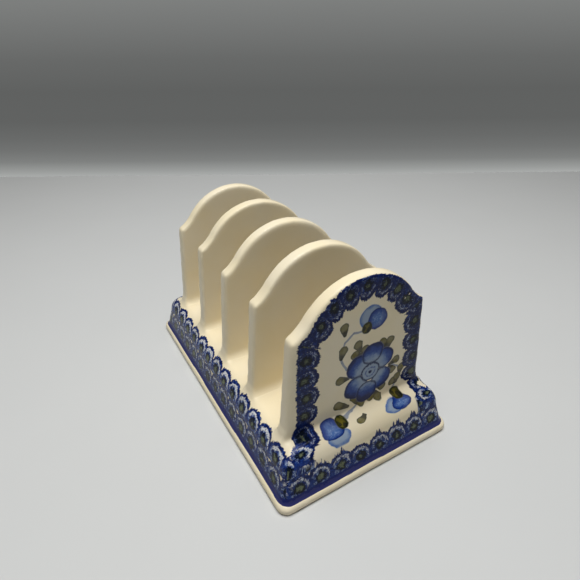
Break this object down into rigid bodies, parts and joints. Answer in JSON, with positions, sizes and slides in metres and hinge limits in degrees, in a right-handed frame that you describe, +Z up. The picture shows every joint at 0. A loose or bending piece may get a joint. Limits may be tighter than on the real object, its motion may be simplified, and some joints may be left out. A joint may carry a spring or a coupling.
{
  "type": "toast rack",
  "caption": "Ceramic toast rack: arched panels standing in a row on a low hollow plinth with a flanged foot, glazed cream with blue stamped borders.",
  "frame": {"origin": "centre of the underside, on the surface the rack stands on", "axes": "+Z up; +Y along the row of panels, with the front panel at -Y; +X across the rack, along a slice of toast"},
  "size_m": [0.0984, 0.165, 0.0969],
  "materials": {
    "cream_glaze": "glossy cream glaze over stoneware",
    "stamped_glaze": "glossy clear glaze over cobalt blue and olive sponge stamping",
    "painted_glaze": "glossy clear glaze over a painted blue flower spray and a stamped border"
  },
  "bodies": {
    "root": {"foot_rim": "cream_glaze", "plinth": "stamped_glaze", "front_panel": "painted_glaze", "front_divider": "cream_glaze", "middle_divider": "cream_glaze", "rear_divider": "cream_glaze", "rear_panel": "painted_glaze"}
  },
  "joints": []
}
